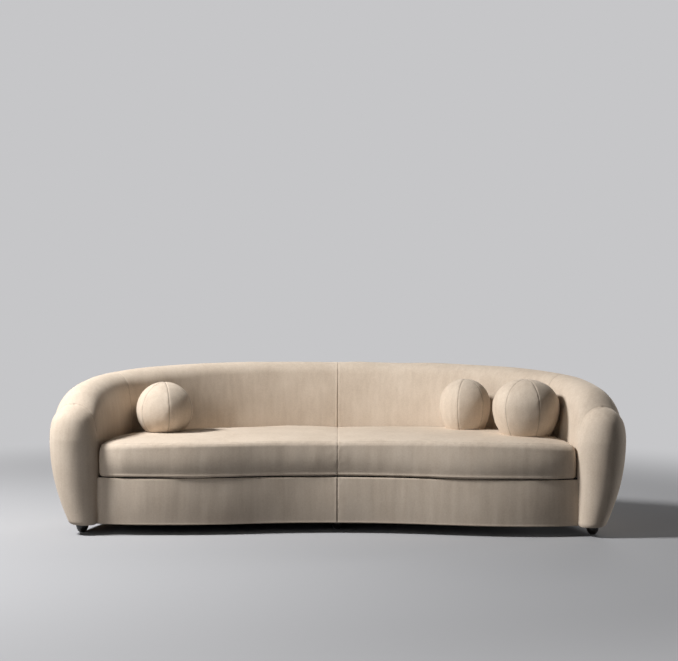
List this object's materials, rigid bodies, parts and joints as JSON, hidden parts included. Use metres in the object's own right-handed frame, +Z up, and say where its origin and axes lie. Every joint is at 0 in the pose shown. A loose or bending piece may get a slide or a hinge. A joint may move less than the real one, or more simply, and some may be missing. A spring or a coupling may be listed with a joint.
{
  "type": "leather sofa",
  "caption": "Crescent sofa in pale nubuck leather: rolled back and arms in one curve, bench seat cushion, turned dark feet and loose ball pillows; for sitting on.",
  "frame": {"origin": "on the floor under the middle of the sofa's box", "axes": "+X to the right of someone who looks at the sofa's front, +Y from the front to the back, +Z up"},
  "size_m": [2.7292, 1.1202, 0.778],
  "materials": {
    "nubuck": "matte brushed nap",
    "foam": "open-cell foam",
    "fibre": "polyester fibre fill",
    "beech": "planed",
    "plywood": "sawn",
    "stained_beech": "dark stain, satin",
    "spring_steel": "drawn wire",
    "webbing": "woven",
    "nylon": "moulded"
  },
  "bodies": {
    "sofa": {"inside_back_cover_left": "nubuck", "inside_back_cover_right": "nubuck", "inside_arm_cover_left": "nubuck", "inside_arm_cover_right": "nubuck", "outside_cover_left": "nubuck", "outside_cover_right": "nubuck", "arm_front_cover_left": "nubuck", "arm_front_cover_right": "nubuck", "front_rail_cover_left": "nubuck", "front_rail_cover_right": "nubuck", "back_foam_left": "foam", "back_foam_right": "foam", "arm_foam_left": "foam", "arm_foam_right": "foam", "outside_wadding_left": "foam", "outside_wadding_right": "foam", "arm_front_foam_left": "foam", "arm_front_foam_right": "foam", "plinth_rail_left": "beech", "plinth_rail_right": "beech", "side_deck_rail_left": "beech", "side_deck_rail_right": "beech", "arm_rib_left": "plywood", "arm_rib_right": "plywood", "arm_front_board_left": "plywood", "arm_front_board_right": "plywood", "cross_rail_left": "beech", "cross_rail_right": "beech", "top_rail_left": "beech", "top_rail_right": "beech", "front_rail_pad": "foam", "front_rail": "plywood", "rear_plinth_rail": "beech", "rear_spring_rail": "beech", "back_ribs": "plywood", "centre_beam": "beech", "seat_springs": "spring_steel", "spring_clips": "spring_steel", "back_webbing": "webbing", "deck_pad": "foam", "dust_cover": "webbing", "frame_screws": "spring_steel", "foot_bolts": "spring_steel", "tee_nuts": "spring_steel", "foot_glides": "nylon", "front_left_foot": "stained_beech", "front_right_foot": "stained_beech", "front_centre_foot": "stained_beech", "rear_left_foot": "stained_beech", "rear_right_foot": "stained_beech", "rear_centre_foot": "stained_beech"},
    "seat_cushion": {"seat_cushion_cover": "nubuck", "seat_cushion_core": "foam"},
    "left_ball": {"left_ball_cover": "nubuck", "left_ball_fill": "fibre"},
    "small_right_ball": {"small_right_ball_cover": "nubuck", "small_right_ball_fill": "fibre"},
    "large_right_ball": {"large_right_ball_cover": "nubuck", "large_right_ball_fill": "fibre"}
  },
  "joints": [
    {"name": "seat_cushion_lift", "type": "slide", "parent": "sofa", "child": "seat_cushion", "axis": [0, 0, 1], "range_m": [0, 0.45]},
    {"name": "left_ball_lift", "type": "slide", "parent": "seat_cushion", "child": "left_ball", "axis": [0, 0, 1], "range_m": [0, 0.4]},
    {"name": "small_right_ball_lift", "type": "slide", "parent": "seat_cushion", "child": "small_right_ball", "axis": [0, 0, 1], "range_m": [0, 0.4]},
    {"name": "large_right_ball_lift", "type": "slide", "parent": "seat_cushion", "child": "large_right_ball", "axis": [0, 0, 1], "range_m": [0, 0.4]}
  ]
}
